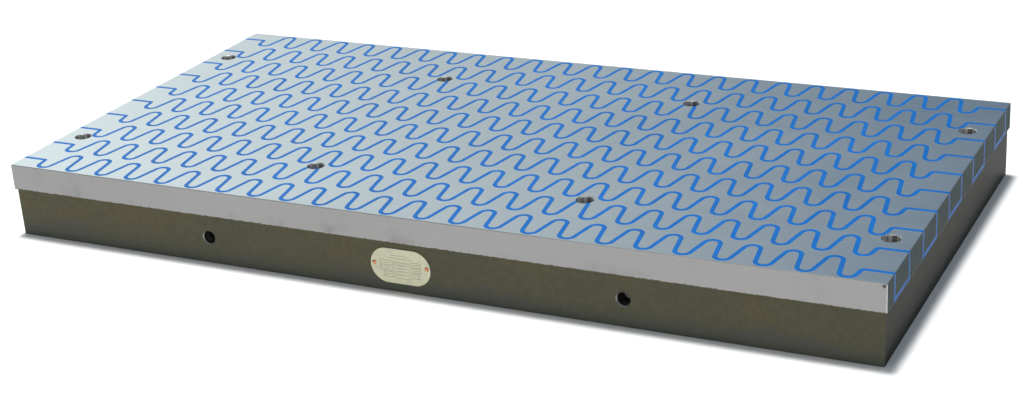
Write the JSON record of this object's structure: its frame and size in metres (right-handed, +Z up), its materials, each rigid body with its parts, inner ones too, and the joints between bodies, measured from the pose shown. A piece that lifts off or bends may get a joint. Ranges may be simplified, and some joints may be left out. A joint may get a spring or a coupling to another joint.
{
  "type": "magnetic chuck",
  "caption": "Long rectangular electromagnetic chuck with a ground wave-pole face, blue resin gaps, painted base, through-bolt and lifting holes, and a capped power inlet.",
  "frame": {"origin": "centre of the ground underside of the base", "axes": "+X along the length, away from the power inlet; +Y across the width, towards the back; +Z up, out of the work face"},
  "size_m": [1.039, 0.5, 0.085],
  "materials": {
    "base_paint": "dark olive-grey hammer-like machine paint",
    "plate_steel": "surface-ground steel",
    "gap_resin": "cast blue epoxy, ground flush",
    "core_steel": "mild steel, machined",
    "coil_copper": "enamelled copper winding",
    "former_plastic": "glass-filled insulating former",
    "label_metal": "pale etched plate with plain ruled lines",
    "rivet_copper": "copper-coloured rivets",
    "seal_rubber": "black seal",
    "fastener_steel": "black oxide screws",
    "block_plastic": "moulded terminal block",
    "terminal_brass": "brass screws",
    "wire_sleeve": "insulated wire",
    "inlet_paint": "grey powder-coated casting",
    "insert_plastic": "black contact insert",
    "contact_brass": "contact pins",
    "pin_steel": "bright steel"
  },
  "bodies": {
    "chuck": {"base_housing": "base_paint", "cap_hinge_pin": "pin_steel", "cap_spring": "pin_steel", "coil_1": "coil_copper", "coil_2": "coil_copper", "coil_3": "coil_copper", "coil_4": "coil_copper", "coil_5": "coil_copper", "coil_former_1": "former_plastic", "coil_former_2": "former_plastic", "coil_former_3": "former_plastic", "coil_former_4": "former_plastic", "coil_former_5": "former_plastic", "coil_links": "wire_sleeve", "cover_gasket": "seal_rubber", "cover_screws": "fastener_steel", "earth_screw": "terminal_brass", "edge_screws": "fastener_steel", "edge_strip_back": "plate_steel", "edge_strip_front": "plate_steel", "gap_resin_1": "gap_resin", "gap_resin_2": "gap_resin", "gap_resin_3": "gap_resin", "gap_resin_4": "gap_resin", "gap_resin_5": "gap_resin", "inlet_contacts": "contact_brass", "inlet_housing": "inlet_paint", "inlet_insert": "insert_plastic", "inlet_leads": "wire_sleeve", "inlet_screws": "fastener_steel", "name_plate": "label_metal", "name_plate_rivets": "rivet_copper", "pole_bar_1": "plate_steel", "pole_bar_2": "plate_steel", "pole_bar_3": "plate_steel", "pole_bar_4": "plate_steel", "pole_bar_5": "plate_steel", "pole_core_1": "core_steel", "pole_core_2": "core_steel", "pole_core_3": "core_steel", "pole_core_4": "core_steel", "pole_core_5": "core_steel", "pole_screws": "fastener_steel", "supply_leads": "wire_sleeve", "terminal_block": "block_plastic", "terminal_cover": "base_paint", "terminal_screws": "terminal_brass", "web_screws": "fastener_steel", "web_strip_1": "plate_steel", "web_strip_2": "plate_steel", "web_strip_3": "plate_steel", "web_strip_4": "plate_steel"},
    "cap": {"inlet_cap": "inlet_paint", "cap_seal": "seal_rubber"}
  },
  "joints": [
    {"name": "cap_hinge", "type": "hinge", "parent": "chuck", "child": "cap", "pos_m": [-0.532, 0, 0.046], "axis": [0, 1, 0], "range_deg": [0, 110], "stiffness_Nm_per_rad": 0.02, "springref_deg": -34.38}
  ]
}
